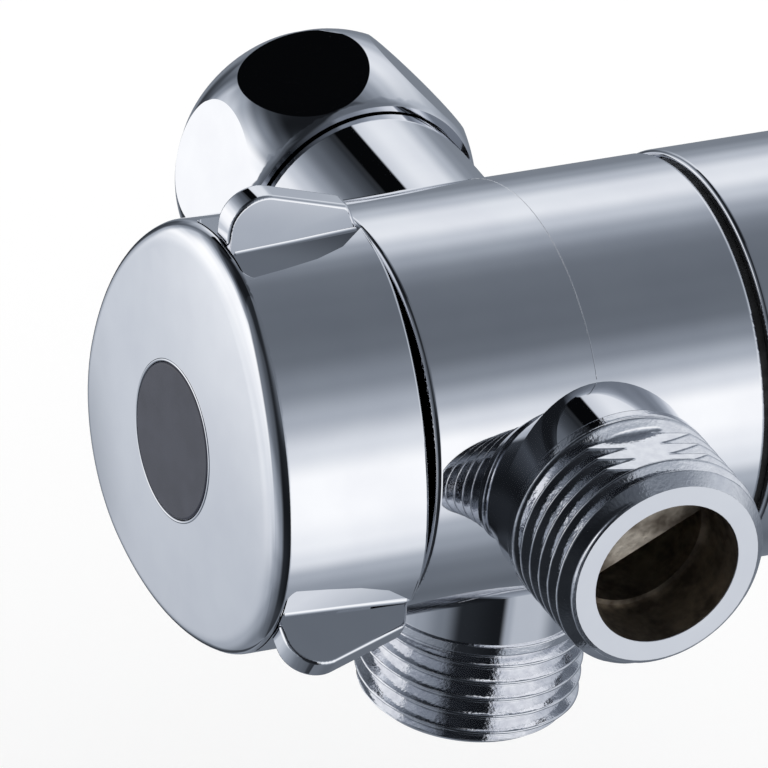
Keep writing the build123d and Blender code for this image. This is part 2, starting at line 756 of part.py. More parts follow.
with BuildPart() as inlet_gasket:
    with BuildSketch(Plane.XZ.offset(-run_y - spigot_end)):
        Circle(gasket_r)
        Circle(spigot_bore_r - gasket_lap, mode=Mode.SUBTRACT)
    extrude(amount=-gasket_thick)

valve_body.part.label = "valve_body"
export_step(valve_body.part, "parts/valve_body.step")
selector_ball.part.label = "selector_ball"
export_step(selector_ball.part, "parts/selector_ball.step")
seat_inlet.part.label = "seat_inlet"
export_step(seat_inlet.part, "parts/seat_inlet.step")
seat_forward.part.label = "seat_front"
export_step(seat_forward.part, "parts/seat_front.step")
seat_lower.part.label = "seat_bottom"
export_step(seat_lower.part, "parts/seat_bottom.step")
bonnet.part.label = "bonnet"
export_step(bonnet.part, "parts/bonnet.step")
bonnet_seal.part.label = "bonnet_seal"
export_step(bonnet_seal.part, "parts/bonnet_seal.step")
spindle.part.label = "spindle"
export_step(spindle.part, "parts/spindle.step")
thrust_washer.part.label = "thrust_washer"
export_step(thrust_washer.part, "parts/thrust_washer.step")
spindle_seal_inner.part.label = "spindle_seal_inner"
export_step(spindle_seal_inner.part, "parts/spindle_seal_inner.step")
spindle_seal_outer.part.label = "spindle_seal_outer"
export_step(spindle_seal_outer.part, "parts/spindle_seal_outer.step")
diverter_knob.part.label = "diverter_knob"
export_step(diverter_knob.part, "parts/diverter_knob.step")
knob_insert.part.label = "knob_insert"
export_step(knob_insert.part, "parts/knob_insert.step")
knob_screw.part.label = "knob_screw"
export_step(knob_screw.part, "parts/knob_screw.step")
friction_ring.part.label = "friction_ring"
export_step(friction_ring.part, "parts/friction_ring.step")
swivel_end.part.label = "swivel_end"
export_step(swivel_end.part, "parts/swivel_end.step")
wave_washer.part.label = "wave_washer"
export_step(wave_washer.part, "parts/wave_washer.step")
pivot_washer.part.label = "pivot_washer"
export_step(pivot_washer.part, "parts/pivot_washer.step")
pivot_screw.part.label = "pivot_screw"
export_step(pivot_screw.part, "parts/pivot_screw.step")
end_cap.part.label = "end_cap"
export_step(end_cap.part, "parts/end_cap.step")
inlet_nut.part.label = "inlet_nut"
export_step(inlet_nut.part, "parts/inlet_nut.step")
nut_clip.part.label = "nut_clip"
export_step(nut_clip.part, "parts/nut_clip.step")
inlet_screen.part.label = "inlet_screen"
export_step(inlet_screen.part, "parts/inlet_screen.step")
inlet_gasket.part.label = "inlet_gasket"
export_step(inlet_gasket.part, "parts/inlet_gasket.step")
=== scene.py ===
import json
import math

import bpy
import numpy as np
from mathutils import Matrix

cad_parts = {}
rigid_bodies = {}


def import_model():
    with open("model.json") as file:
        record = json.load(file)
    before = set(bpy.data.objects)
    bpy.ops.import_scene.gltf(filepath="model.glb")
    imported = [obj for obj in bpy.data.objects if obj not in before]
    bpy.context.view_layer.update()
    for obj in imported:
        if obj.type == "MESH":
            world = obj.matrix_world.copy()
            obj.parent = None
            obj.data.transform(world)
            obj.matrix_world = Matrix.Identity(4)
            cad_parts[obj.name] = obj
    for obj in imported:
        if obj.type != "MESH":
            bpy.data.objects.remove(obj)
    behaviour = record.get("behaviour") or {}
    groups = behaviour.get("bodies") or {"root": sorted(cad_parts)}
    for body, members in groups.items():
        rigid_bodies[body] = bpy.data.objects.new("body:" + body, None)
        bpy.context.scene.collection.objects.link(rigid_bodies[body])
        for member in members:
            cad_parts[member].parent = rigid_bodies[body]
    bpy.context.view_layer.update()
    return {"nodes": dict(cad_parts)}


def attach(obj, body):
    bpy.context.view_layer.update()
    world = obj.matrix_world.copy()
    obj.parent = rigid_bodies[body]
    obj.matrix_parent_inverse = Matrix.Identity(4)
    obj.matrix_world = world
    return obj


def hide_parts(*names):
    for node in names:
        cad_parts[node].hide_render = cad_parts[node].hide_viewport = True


for old in list(bpy.data.objects):
    bpy.data.objects.remove(old)
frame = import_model()
scene = bpy.context.scene
scene.view_settings.view_transform = "Standard"
print("frame loaded:", len(frame["nodes"]), "nodes")

mm = 0.001
maths = "ShaderNodeMath"  # the node that does one sum
axisY = -46.0  # the barrel's axis, in mm from the inlet nut's mouth
onAxis = np.array([0, axisY, 0])


# #rrggbb to the linear values that Blender's sockets take
def linear(hexColour):
    parts = [int(hexColour[i:i + 2], 16) / 255 for i in (1, 3, 5)]
    return tuple(p / 12.92 if p <= 0.04045 else ((p + 0.055) / 1.055) ** 2.4 for p in parts) + (1.0,)


# one node, with its settings or the name of its operation; inputs go in order, by name with _ for a
# space, or as n6 for a place in the list, and a node or a socket makes a link
def addNode(tree, kind, settings=None, *values, **inputs):
    node = tree.nodes.new(kind)
    if isinstance(settings, str):
        settings = {"operation": settings}
    for key, value in (settings or {}).items():
        setattr(node, key, value)
    inputs.update({"n%d" % n: value for n, value in enumerate(values)})
    for key, value in inputs.items():
        place = int(key[1:]) if key[0] == "n" and key[1:].isdigit() else key.replace("_", " ")
        if isinstance(value, bpy.types.Node):
            value = value.outputs[0]
        if isinstance(value, bpy.types.NodeSocket):
            tree.links.new(value, node.inputs[place])
        else:
            node.inputs[place].default_value = value
    return node


# a material with its output and one Principled surface
def newMaterial(name):
    made = bpy.data.materials.new(name)
    made.use_nodes = True
    tree = made.node_tree
    tree.nodes.clear()
    surface = addNode(tree, "ShaderNodeBsdfPrincipled")
    addNode(tree, "ShaderNodeOutputMaterial", Surface=surface)
    return made, tree, surface


# an object from points in metres, its faces, its material and any corner normals
def addPiece(name, spots, faces, material, normals=None):
    mesh = bpy.data.meshes.new(name)
    mesh.from_pydata(spots, [], faces)
    mesh.shade_smooth()
    if normals is not None:
        mesh.normals_split_custom_set(normals)
    mesh.materials.append(material)
    piece = bpy.data.objects.new(name, mesh)
    scene.collection.objects.link(piece)
    return piece


# camera at the photograph's angle: its axes, its place in metres, its lens and sensor in mm, and the
# nearest and farthest that it sees in metres
cameraPlace = {"right": (0.89242142, -0.43753554, 0.11021184), "up": (0.14648713, 0.51198742, 0.8464103),
               "forward": (0.42676167, 0.73921007, -0.52100187), "at": (-0.65096, -1.15162, 0.78167),
               "lens": 771.7, "sensor": 36.0, "near": 0.05, "far": 20.0}


def makeCamera(place):
    lens = bpy.data.cameras.new("camera")
    lens.lens, lens.sensor_width = place["lens"], place["sensor"]
    lens.clip_start, lens.clip_end = place["near"], place["far"]
    camera = bpy.data.objects.new("camera", lens)
    scene.collection.objects.link(camera)
    rows = [[place["right"][i], place["up"][i], -place["forward"][i], place["at"][i]] for i in range(3)]
    camera.matrix_world = Matrix(rows + [[0, 0, 0, 1]])
    scene.camera = camera


makeCamera(cameraPlace)


# the studio that polished metal mirrors: soft boxes, flags and dark walls round the valve, as brightness
# by elevation at these azimuths, in degrees; the large soft box in front has the same two sides
softBox = ((-61, 0.16), (-54, 0.21), (-45, 0.31), (-35, 0.42), (-25, 0.74), (-14, 0.86), (-3, 0.95),
           (8, 0.95), (18, 0.71), (29, 0.42), (39, 0.24), (49, 0.15), (57, 0.13))
studioLight = {
    -180: ((-64, 0.13), (-44, 0.19), (-28, 0.33), (-18, 0.50), (-8, 0.35), (4, 0.20), (30, 0.17),
           (46, 0.12), (56, 0.03), (64, 0.02)),
    -152: ((-64, 0.10), (-44, 0.12), (-30, 0.18), (-18, 0.26), (-8, 0.22), (6, 0.11), (40, 0.07),
           (52, 0.02), (64, 0.02)),
    -132: ((-64, 0.04), (-44, 0.02), (-20, 0.02), (0, 0.01), (40, 0.02), (64, 0.02)),
    -92: ((-64, 0.03), (-50, 0.01), (-32, 0.01), (0, 0.01), (20, 0.02), (36, 0.10), (64, 0.12)),
    -84: ((-64, 0.06), (-52, 0.05), (-44, 0.12), (-36, 0.30), (-28, 0.45), (-20, 0.60), (-12, 0.80),
          (-4, 0.94), (4, 0.85), (12, 0.68), (20, 0.52), (36, 0.28), (49, 0.15), (64, 0.12)),
    -76: softBox,
    -50: softBox,
    -25: ((-64, 0.16), (-32, 0.20), (-20, 0.40), (0, 0.70), (20, 0.55), (39, 0.24), (49, 0.16),
          (64, 0.14)),
    10: ((-64, 0.13), (-32, 0.15), (0, 0.30), (24, 0.45), (36, 0.45), (44, 0.36), (55, 0.20),
         (66, 0.15), (76, 0.06)),
    45: ((-50, 0.16), (-30, 0.20), (-8, 0.22), (2, 0.26), (13, 0.46), (24, 0.72), (34, 0.78),
         (44, 0.57), (53, 0.34), (60, 0.22), (66, 0.15), (76, 0.06)),
    75: ((-50, 0.25), (-40, 0.18), (-30, 0.20), (-8, 0.20), (2, 0.30), (13, 0.52), (24, 0.76),
         (34, 0.78), (44, 0.56), (53, 0.33), (60, 0.20), (66, 0.14), (76, 0.06)),
    88: ((-64, 0.06), (-50, 0.04), (-20, 0.03), (-4, 0.06), (4, 0.18), (13, 0.35), (24, 0.45),
         (34, 0.43), (44, 0.29), (53, 0.17), (60, 0.11), (66, 0.07), (76, 0.03)),
    99: ((-64, 0.05), (-40, 0.04), (-12, 0.06), (0, 0.10), (20, 0.15), (36, 0.08), (44, 0.02),
         (64, 0.01)),
    106: ((-64, 0.06), (-46, 0.14), (-36, 0.26), (-26, 0.40), (-12, 0.45), (-4, 0.36), (4, 0.26),
          (20, 0.20), (36, 0.09), (44, 0.02), (64, 0.01)),
    114: ((-64, 0.20), (-44, 0.38), (-30, 0.60), (-20, 0.81), (-12, 0.95), (-4, 0.75), (4, 0.56),
          (14, 0.54), (24, 0.30), (36, 0.12), (44, 0.01), (64, 0.01)),
    130: ((-64, 0.22), (-44, 0.40), (-34, 0.52), (-26, 0.82), (-12, 0.97), (0, 1.0), (12, 0.85),
          (20, 0.60), (28, 0.36), (36, 0.12), (44, 0.04), (64, 0.01)),
    155: ((-64, 0.20), (-44, 0.32), (-36, 0.42), (-24, 0.70), (-12, 0.85), (4, 0.95), (20, 0.98),
          (28, 0.62), (36, 0.22), (44, 0.05), (52, 0.01), (64, 0.01)),
    173: ((-64, 0.15), (-44, 0.26), (-36, 0.30), (-28, 0.39), (-20, 0.65), (-4, 0.90), (12, 0.98),
          (20, 0.85), (28, 0.25), (44, 0.08), (52, 0.02), (64, 0.01)),
}
# the black card's sides by azimuth, its ends by elevation, and how wide each edge fades, in degrees
blackCard = {"right": 79.0, "rightSoft": 1.5, "left": 94.0, "leftSoft": 7.0, "from": 34.0, "to": 58.0,
             "soft": 1.5, "level": 0.002}
chromeBase = 0.885  # what the plating gives back, so the levels above are what a pixel shows
coolTint = (-0.16, -0.026, 0.186)  # how far a black wall leans from grey in red, green and blue


# dark studio walls read blue grey, lit ones nearly neutral
def cool(level):
    tint = max(0.0, 1.0 - level)
    return tuple(level / chromeBase * (1 + k * tint) for k in coolTint) + (1.0,)


# world: the camera sees plain white, matt surfaces a plain soft light, and polished metal the studio
def makeWorld():
    world = bpy.data.worlds.new("studio")
    scene.world = world
    world.use_nodes = True
    world.cycles.sampling_method = "NONE"
    tree = world.node_tree
    tree.nodes.clear()
    ray = addNode(tree, "ShaderNodeSeparateXYZ",
                  n0=addNode(tree, "ShaderNodeTexCoord").outputs["Generated"]).outputs
    degrees = 180 / math.pi
    azimuth = addNode(tree, maths, "MULTIPLY", addNode(tree, maths, "ARCTAN2", ray["Y"], ray["X"]), degrees)
    elevation = addNode(tree, maths, "MULTIPLY", addNode(tree, maths, "ARCSINE", ray["Z"]), degrees)
    height = addNode(tree, maths, "MULTIPLY_ADD", elevation, 1 / 180, 0.5)
    ramps = []
    for stops in studioLight.values():
        ramp = addNode(tree, "ShaderNodeValToRGB", Fac=height)
        ramp.color_ramp.interpolation = "EASE"
        elements = ramp.color_ramp.elements
        elements[0].position, elements[0].color = stops[0][0] / 180 + 0.5, cool(stops[0][1])
        elements[1].position, elements[1].color = stops[-1][0] / 180 + 0.5, cool(stops[-1][1])
        for angle, level in stops[1:-1]:
            elements.new(angle / 180 + 0.5).color = cool(level)
        ramps.append(ramp.outputs["Color"])
    # from column to column round the horizon, and from the last back to the first
    keys = list(studioLight) + [180]
    ramps.append(ramps[0])
    colour = ramps[0]
    for n in range(1, len(keys)):
        share = addNode(tree, "ShaderNodeMapRange", {"interpolation_type": "SMOOTHSTEP"}, Value=azimuth,
                        n1=float(keys[n - 1]), n2=float(keys[n]))
        colour = addNode(tree, "ShaderNodeMix", {"data_type": "RGBA"}, n0=share, n6=colour,
                         n7=ramps[n]).outputs[2]
    # a narrow black card behind the valve, seen in the nut's upper flat and in the neck
    soft = blackCard["soft"]
    card = 1.0
    for value, begin, full in ((azimuth, blackCard["right"] - blackCard["rightSoft"], blackCard["right"]),
                               (azimuth, blackCard["left"] + blackCard["leftSoft"], blackCard["left"]),
                               (elevation, blackCard["from"] - soft, blackCard["from"]),
                               (elevation, blackCard["to"] + soft, blackCard["to"])):
        edge = addNode(tree, "ShaderNodeMapRange", Value=value, n1=begin, n2=full)
        card = addNode(tree, maths, "MULTIPLY", edge, card)
    colour = addNode(tree, "ShaderNodeMix", {"data_type": "RGBA"}, n0=card, n6=colour,
                     n7=cool(blackCard["level"])).outputs[2]
    path = addNode(tree, "ShaderNodeLightPath").outputs
    mirrored = addNode(tree, maths, "MAXIMUM", path["Is Glossy Ray"], path["Is Transmission Ray"])
    seen = addNode(tree, "ShaderNodeMix", {"data_type": "RGBA"}, n0=mirrored, n6=(1, 1, 1, 1),
                   n7=colour).outputs[2]
    back = addNode(tree, "ShaderNodeBackground", Color=seen, Strength=1.0)
    addNode(tree, "ShaderNodeOutputWorld", Surface=back)


makeWorld()
print("camera and studio made")


# threads of both outlets, half-inch pipe thread: radii, ends and pitch in mm; a flank's share of the
# wave, where the thread runs in and how steeply it climbs from the shoulder, and the grid's counts
threadSizes = {"crest": 10.48, "root": 9.34, "shoulder": 10.20, "mouth": 9.15, "start": 21.60, "end": 32.90,
               "pitch": 1.814, "chamfer": 1.15, "flankFrom": 0.10, "flankTo": 0.90, "runFrom": 0.9,
               "runTo": 1.7, "entrySlope": 2.0, "around": 360, "along": 160}
frontPad = {"height": 9.20, "from": 23.6, "to": 29.6}
lowerPad = {"height": 99.0, "from": 0.0, "to": 0.1}  # higher than any crest: the lower thread has no flat


# a sleeve wound from a grid; its radius follows the helix, the chamfer and the pad's flat
def makeThread(name, sizes, pad, turn, material):
    tree = bpy.data.node_groups.new(name, "GeometryNodeTree")
    tree.interface.new_socket("Geometry", in_out="OUTPUT", socket_type="NodeSocketGeometry")
    values = {key: value for key, value in sizes.items() if key not in ("around", "along")}
    values.update(padHeight=pad["height"], padFrom=pad["from"], padTo=pad["to"])
    for key in values:
        tree.interface.new_socket(key, in_out="INPUT", socket_type="NodeSocketFloat")
    given = addNode(tree, "NodeGroupInput").outputs
    length = addNode(tree, maths, "SUBTRACT", given["end"], given["start"])
    grid = addNode(tree, "GeometryNodeMeshGrid", None, length, 2 * math.pi, sizes["along"] + 1,
                   sizes["around"] + 1)
    place = addNode(tree, "ShaderNodeSeparateXYZ", None, addNode(tree, "GeometryNodeInputPosition")).outputs
    out = addNode(tree, maths, "ADD", place["X"], addNode(tree, maths, "MULTIPLY", length, 0.5))
    angle = place["Y"]
    # how far along the helix this point lies, 0 in the groove and 1 on the crest
    turns = addNode(tree, maths, "SUBTRACT", addNode(tree, maths, "DIVIDE", out, given["pitch"]),
                    addNode(tree, maths, "DIVIDE", angle, 2 * math.pi))
    wave = addNode(tree, maths, "PINGPONG", addNode(tree, maths, "MULTIPLY", turns, 2.0), 1.0)
    flank = addNode(tree, "ShaderNodeMapRange", Value=wave, n1=given["flankFrom"], n2=given["flankTo"])
    runIn = addNode(tree, "ShaderNodeMapRange", {"interpolation_type": "SMOOTHSTEP"}, Value=out,
                    n1=given["runFrom"], n2=given["runTo"])
    depth = addNode(tree, maths, "MULTIPLY", addNode(tree, maths, "SUBTRACT", 1.0, flank), runIn)
    rise = addNode(tree, maths, "SUBTRACT", given["crest"], given["root"])
    radius = addNode(tree, maths, "SUBTRACT", given["crest"], addNode(tree, maths, "MULTIPLY", depth, rise))
    # the pad's flat cuts the crests along a part of the upper half; the limit keeps the divisor above zero
    upright = addNode(tree, maths, "MAXIMUM", addNode(tree, maths, "SINE", angle), 0.05)
    height = addNode(tree, maths, "DIVIDE", given["padHeight"], upright)
    padStart = addNode(tree, maths, "SUBTRACT", given["padFrom"], given["start"])
    padStop = addNode(tree, maths, "SUBTRACT", given["padTo"], given["start"])
    inside = addNode(tree, maths, "MULTIPLY", addNode(tree, maths, "GREATER_THAN", out, padStart),
                     addNode(tree, maths, "LESS_THAN", out, padStop))
    cut = addNode(tree, maths, "MINIMUM", radius, height)
    radius = addNode(tree, "ShaderNodeMix", {"data_type": "FLOAT"}, n0=inside, n2=radius, n3=cut)
    # chamfer at the mouth, and a short cone up from the shoulder
    left = addNode(tree, maths, "SUBTRACT", length, out)
    taper = addNode(tree, maths, "SUBTRACT", given["crest"], given["mouth"])
    slope = addNode(tree, maths, "DIVIDE", taper, given["chamfer"])
    cone = addNode(tree, maths, "ADD", given["mouth"], addNode(tree, maths, "MULTIPLY", left, slope))
    climb = addNode(tree, maths, "MULTIPLY", out, given["entrySlope"])
    for limit in (cone, addNode(tree, maths, "ADD", given["shoulder"], climb)):
        radius = addNode(tree, maths, "MINIMUM", radius, limit)
    spot = addNode(tree, "ShaderNodeCombineXYZ", None,
                   addNode(tree, maths, "MULTIPLY", radius, addNode(tree, maths, "COSINE", angle)),
                   addNode(tree, maths, "ADD", out, given["start"]),
                   addNode(tree, maths, "MULTIPLY", radius, addNode(tree, maths, "SINE", angle)))
    # the grid is wound and its seam sewn in mm, then the sleeve goes to its place in metres
    wound = addNode(tree, "GeometryNodeSetPosition", n0=grid, n2=spot)
    sewn = addNode(tree, "GeometryNodeMergeByDistance", n0=wound, Distance=0.0005)
    placed = addNode(tree, "GeometryNodeTransform", n0=sewn, Translation=(0, axisY * mm, 0),
                     Rotation=turn, Scale=(mm, mm, mm))
    smooth = addNode(tree, "GeometryNodeSetShadeSmooth", n0=placed)
    real = addNode(tree, "GeometryNodeRealizeInstances", n0=smooth)
    dressed = addNode(tree, "GeometryNodeSetMaterial", n0=real, Material=material)
    addNode(tree, "NodeGroupOutput", n0=dressed)
    # run the tree once and keep its plain mesh
    holder = bpy.data.objects.new(name + "Holder", bpy.data.meshes.new(name + "Holder"))
    scene.collection.objects.link(holder)
    modifier = holder.modifiers.new("thread", "NODES")
    modifier.node_group = tree
    for item in tree.interface.items_tree:
        if item.in_out == "INPUT":
            modifier[item.identifier] = float(values[item.name])
    bpy.context.view_layer.update()
    ready = holder.evaluated_get(bpy.context.evaluated_depsgraph_get())
    mesh = bpy.data.meshes.new_from_object(ready)
    piece = bpy.data.objects.new(name, mesh)
    scene.collection.objects.link(piece)
    holder.modifiers.clear()
    bpy.data.objects.remove(holder)
    return piece


# each finish between two shades, roughness from low to high, clouds and grain in mm, bump height in mm
finishes = {
    # bright chrome on moulded ABS: a cool mirror whose buffing leaves slightly duller clouds
    "chromePlate": {"light": "#f2f3f6", "dark": "#edeef2", "metal": 1.0, "rough": (0.022, 0.040),
                    "cloud": 6.0},
    # the same plate over moulded threads, where it goes on thin: duller flanks with a fine sparkle
    "threadPlate": {"light": "#eeeff2", "dark": "#e2e3e8", "metal": 1.0, "rough": (0.04, 0.08), "cloud": 0.9,
                    "grain": 0.30, "bump": 0.016},
    # nickel strike left unpolished in the waterways: brown bronze, blotched, with soft gleams
    "boreNickel": {"light": "#ded3c3", "dark": "#857a6e", "metal": 1.0, "rough": (0.42, 0.58), "cloud": 2.4,
                   "grain": 0.60, "bump": 0.05},
    # satin dark grey moulding: an even fine spark-eroded texture that greys out under light
    "greySatin": {"light": "#31323f", "dark": "#2d2e3a", "metal": 0.0, "rough": (0.22, 0.27), "cloud": 2.5,
                  "grain": 0.14, "bump": 0.003},
    # nitrile: nearly black, with a dry bloom in patches
    "nitrileRubber": {"light": "#1b1b1c", "dark": "#111112", "metal": 0.0, "rough": (0.50, 0.68),
                      "cloud": 1.5, "grain": 0.20, "bump": 0.012},
    # silicone seats: dark grey, softer shine than nitrile
    "seatRubber": {"light": "#3b3c3e", "dark": "#2d2e30", "metal": 0.0, "rough": (0.42, 0.55), "cloud": 2.0,
                   "grain": 0.25, "bump": 0.008},
    # natural acetal: milky white with faint flow marks and a waxy shine
    "acetal": {"light": "#e9e8e0", "dark": "#dddcd2", "metal": 0.0, "rough": (0.30, 0.40), "cloud": 3.5,
               "grain": 0.60, "bump": 0.004},
}
noiseLow, noiseHigh = 0.35, 0.65  # where nearly all of a noise texture's values lie


# one recipe for the moulded and plated finishes: clouds in colour and shine, and a fine grain
def makeFinish(name):
    values = finishes[name]
    made, tree, surface = newMaterial(name)
    place = addNode(tree, "ShaderNodeTexCoord").outputs["Object"]
    cloud = addNode(tree, "ShaderNodeTexNoise", Vector=place, Scale=1 / (values["cloud"] * mm), Detail=3.0)
    shade = addNode(tree, "ShaderNodeMapRange", Value=cloud, n1=noiseLow, n2=noiseHigh)
    colour = addNode(tree, "ShaderNodeMix", {"data_type": "RGBA"}, n0=shade,
                     n6=linear(values["dark"]), n7=linear(values["light"]))
    rough = addNode(tree, "ShaderNodeMapRange", Value=cloud, n1=noiseLow, n2=noiseHigh,
                    n3=values["rough"][1], n4=values["rough"][0])
    tree.links.new(colour.outputs[2], surface.inputs["Base Color"])
    tree.links.new(rough.outputs[0], surface.inputs["Roughness"])
    surface.inputs["Metallic"].default_value = values["metal"]
    if "grain" in values:
        grain = addNode(tree, "ShaderNodeTexNoise", Vector=place, Scale=1 / (values["grain"] * mm),
                        Detail=2.0)
        bump = addNode(tree, "ShaderNodeBump", Strength=1.0, Distance=values["bump"] * mm, Height=grain)
        tree.links.new(bump.outputs[0], surface.inputs["Normal"])
    return made


# each metal between two shades, its roughness, and the spacing and depth of its tool rings in mm
metals = {
    # turned brass: fine tool rings round the spindle's axis
    "turnedBrass": {"light": "#d9b871", "dark": "#b8934f", "rough": (0.18, 0.30), "ring": 0.22,
                    "bump": 0.006},
    # stainless steel: pressed and turned, grey with faint drawn rings
    "stainless": {"light": "#c3c4c6", "dark": "#9fa1a4", "rough": (0.22, 0.36), "ring": 0.30,
                  "bump": 0.004},
}


# machined metals: rings of tool marks about the barrel's axis, in colour, shine and bump
def makeMetal(name):
    values = metals[name]
    made, tree, surface = newMaterial(name)
    place = addNode(tree, "ShaderNodeTexCoord").outputs["Object"]
    centred = addNode(tree, "ShaderNodeMapping", Vector=place, Location=(0, -axisY * mm, 0))
    # Blender's rings repeat 20 times to a unit of scale
    rings = addNode(tree, "ShaderNodeTexWave", {"wave_type": "RINGS", "rings_direction": "X"},
                    Vector=centred, Scale=1 / (values["ring"] * mm) / 20, Distortion=1.5, Detail=2.0,
                    Detail_Scale=3.0)
    colour = addNode(tree, "ShaderNodeMix", {"data_type": "RGBA"}, n0=rings.outputs["Fac"],
                     n6=linear(values["dark"]), n7=linear(values["light"]))
    rough = addNode(tree, "ShaderNodeMapRange", Value=rings.outputs["Fac"], n3=values["rough"][1],
                    n4=values["rough"][0])
    bump = addNode(tree, "ShaderNodeBump", Strength=1.0, Distance=values["bump"] * mm,
                   Height=rings.outputs["Fac"])
    tree.links.new(colour.outputs[2], surface.inputs["Base Color"])
    tree.links.new(rough.outputs[0], surface.inputs["Roughness"])
    tree.links.new(bump.outputs[0], surface.inputs["Normal"])
    surface.inputs["Metallic"].default_value = 1.0
    return made


chrome = makeFinish("chromePlate")
plated = makeFinish("threadPlate")
bronze = makeFinish("boreNickel")


# the knob: radii to a lobe's tip and to the flats between, the lobes' shift from the axis, the top lobe's
# angle, the rolled edge's radius and its polish, and the domed face's centre and radius
lobes = {"tip": 20.60, "flat": 18.85, "shift": 5.20, "angle": 88.5, "roll": 2.20, "polish": 1.7,
         "centre": 227.1, "dome": 261.0}
# mirror finishes show every facet, so the copies of CAD nodes get the true normals of their surfaces:
# ball surfaces (x, radius) and rolled edges (x, ring radius, edge radius) about the barrel's axis
roundSurfaces = {
    "valve_body": {"balls": (), "rolls": ((-16.10, 18.54, 0.60), (16.30, 18.54, 0.60))},
    "diverter_knob": {"balls": ((lobes["centre"], lobes["dome"]),), "rolls": ()},
    "swivel_end": {"balls": (), "rolls": ((31.40, 17.07, 2.20), (18.27, 18.77, 0.50))},
    "end_cap": {"balls": (), "rolls": ((33.35, 16.30, 0.25),)},
    "inlet_nut": {"balls": (), "rolls": ()},
}


# the fins as packed, and the profile that the photograph shows: x along the axis, heights from it
finWas = {"nose": -31.45, "tip": -17.64, "heel": -18.95, "peak": 26.80, "heelHeight": 22.30,
          "half": 1.25, "halfBack": 0.85}
finNow = {"nose": -30.96, "tip": -17.64, "heel": -18.95, "peak": 26.27, "heelHeight": 22.72,
          "half": 1.25, "halfBack": 1.15}
# the finger lands: a sloping plane, how its shading leans, the flare and draft of each fin's sides in
# degrees, the fillet at their foot, and where the outer edge runs in to the fin's tip
land = {"height": 19.35, "at": -36.00, "slope": 0.0425, "lean": 31.0, "leanBack": 27.0, "leanFrom": -26.0,
        "leanOver": 8.0, "pitch": 0.13, "fillet": 0.27, "flare": (33.5, 9.0, 9.0), "draft": (29.0, 9.0, 9.0),
        "edgeX": (-24.0, -21.6, -20.2, -18.9, -18.2, -17.4),
        "edgeAcross": (4.66, 4.20, 3.45, 2.44, 1.80, 1.40)}
# how the faces of fins and lands are found, in mm: a fin's half width with room, play in height and at the
# ends, nearness to a land or a side, where a land's outer edge begins and the shading turns over; then how
# nearly a facet faces up or sideways, and how little a land's may lean
finFind = {"across": 1.4, "over": 0.01, "ends": 0.05, "plane": 0.02, "side": 1.3, "rim": 2.0, "turn": 0.8,
           "match": 0.998, "level": 0.01}


# mm to (x, across, height) about one lobe's fin, and back
def lobeFrame(n):
    turn = math.radians(lobes["angle"] + 120 * n)
    return np.array([[1, 0, 0], [0, math.sin(turn), -math.cos(turn)], [0, math.cos(turn), math.sin(turn)]])


# height of the lands' plane above the axis
def landHeight(x):
    return land["height"] + land["slope"] * (x - land["at"])


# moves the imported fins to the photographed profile, and the lands' outer edge with them
def shapeFins(spots):
    for n in range(3):
        turn = lobeFrame(n)
        x, across, height = ((spots - onAxis) @ turn.T).T
        here = (np.abs(across) < finFind["across"]) & (height > landHeight(x) - finFind["over"])
        here &= (x > finWas["nose"] - finFind["ends"]) & (x < finWas["tip"] + finFind["ends"])
        share = (x - finWas["nose"]) / (finWas["tip"] - finWas["nose"])
        newX = finNow["nose"] + share * (finNow["tip"] - finNow["nose"])
        along = np.clip((x - finWas["nose"]) / (finWas["heel"] - finWas["nose"]), 0, 1)
        ridge = finWas["peak"] + along * (finWas["heelHeight"] - finWas["peak"])
        lift = (1 - along) * (finNow["peak"] - finWas["peak"])
        lift += along * (finNow["heelHeight"] - finWas["heelHeight"])
        weight = np.clip((height - landHeight(x)) / (ridge - landHeight(x)), 0, 1)
        newHeight = height + weight * lift + (1 - weight) * land["slope"] * (newX - x)
        wide = (finNow["half"] + share * (finNow["halfBack"] - finNow["half"])) / (
            finWas["half"] + share * (finWas["halfBack"] - finWas["half"]))
        moved = np.column_stack([newX, across * wide, newHeight]) @ turn + onAxis
        # towards its back end a land's outer edge runs in to the fin's tip
        rim = (np.abs(height - landHeight(x)) < finFind["plane"]) & (np.abs(across) > finFind["rim"])
        rim &= x > land["edgeX"][0]
        near = np.interp(x, land["edgeX"], land["edgeAcross"])
        reach = across ** 2 + (height - lobes["shift"]) ** 2
        tall = lobes["shift"] + np.sqrt(np.maximum(reach - near ** 2, 0))
        rolled = np.column_stack([x, near * np.sign(across), tall]) @ turn + onAxis
        spots[rim] = rolled[rim]
        spots[here] = moved[here]
    return spots


# marks for faces of the lands (1) and of the fins' sides (2), plus 10 for each lobe past the first, given
# before the fins are reshaped
def finMarks(spots, faces):
    corner = spots[faces]
    cross = np.cross(corner[:, 1] - corner[:, 0], corner[:, 2] - corner[:, 0])
    flat = cross / np.maximum(np.linalg.norm(cross, axis=1), 1e-12)[:, None]
    middle = corner.mean(1) - onAxis
    marks = np.zeros(len(faces), int)
    for n in range(3):
        turn = lobeFrame(n)
        x, across, height = (middle @ turn.T).T
        direction = flat @ turn.T
        onLand = (direction[:, 2] > finFind["match"]) & (np.abs(direction[:, 1]) < finFind["level"])
        marks[onLand & (np.abs(height - landHeight(x)) < finFind["plane"])] = 10 * n + 1
        onSide = (np.abs(direction[:, 1]) > finFind["match"]) & (np.abs(across) < finFind["side"])
        marks[onSide & (height > landHeight(x))] = 10 * n + 2
    return marks


